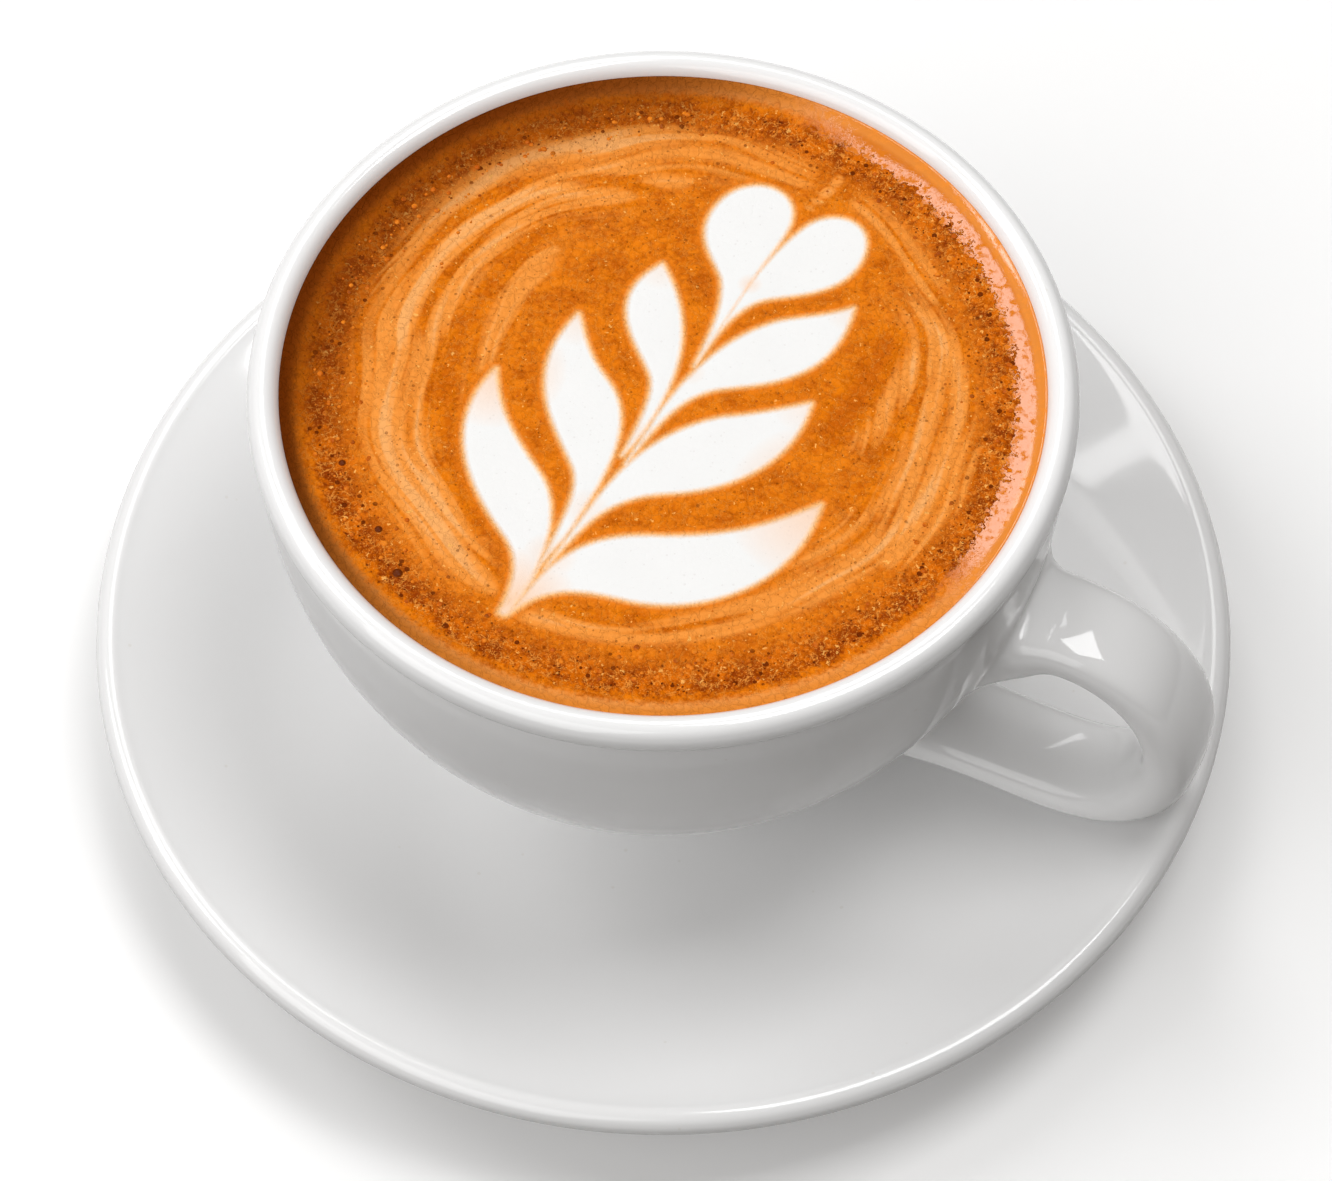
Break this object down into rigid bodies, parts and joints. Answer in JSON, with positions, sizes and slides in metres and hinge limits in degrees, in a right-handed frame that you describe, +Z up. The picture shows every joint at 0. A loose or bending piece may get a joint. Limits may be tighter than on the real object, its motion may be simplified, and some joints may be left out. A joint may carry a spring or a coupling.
{
  "type": "latte in a cup on a saucer",
  "caption": "Latte with a poured leaf pattern, filled almost to the lip of a round-bellied porcelain cup with a strap handle, standing on its matching saucer.",
  "frame": {"origin": "on the table, at the centre of the saucer's foot ring", "axes": "+Z up; +X along the cup's handle"},
  "size_m": [0.154, 0.154, 0.0755],
  "materials": {
    "saucer_porcelain": "gloss white glaze",
    "cup_porcelain": "gloss white glaze",
    "milk_coffee_foam": "wet, fine-bubbled foam"
  },
  "bodies": {
    "root": {"saucer": "saucer_porcelain", "cup": "cup_porcelain", "latte": "milk_coffee_foam"}
  },
  "joints": []
}
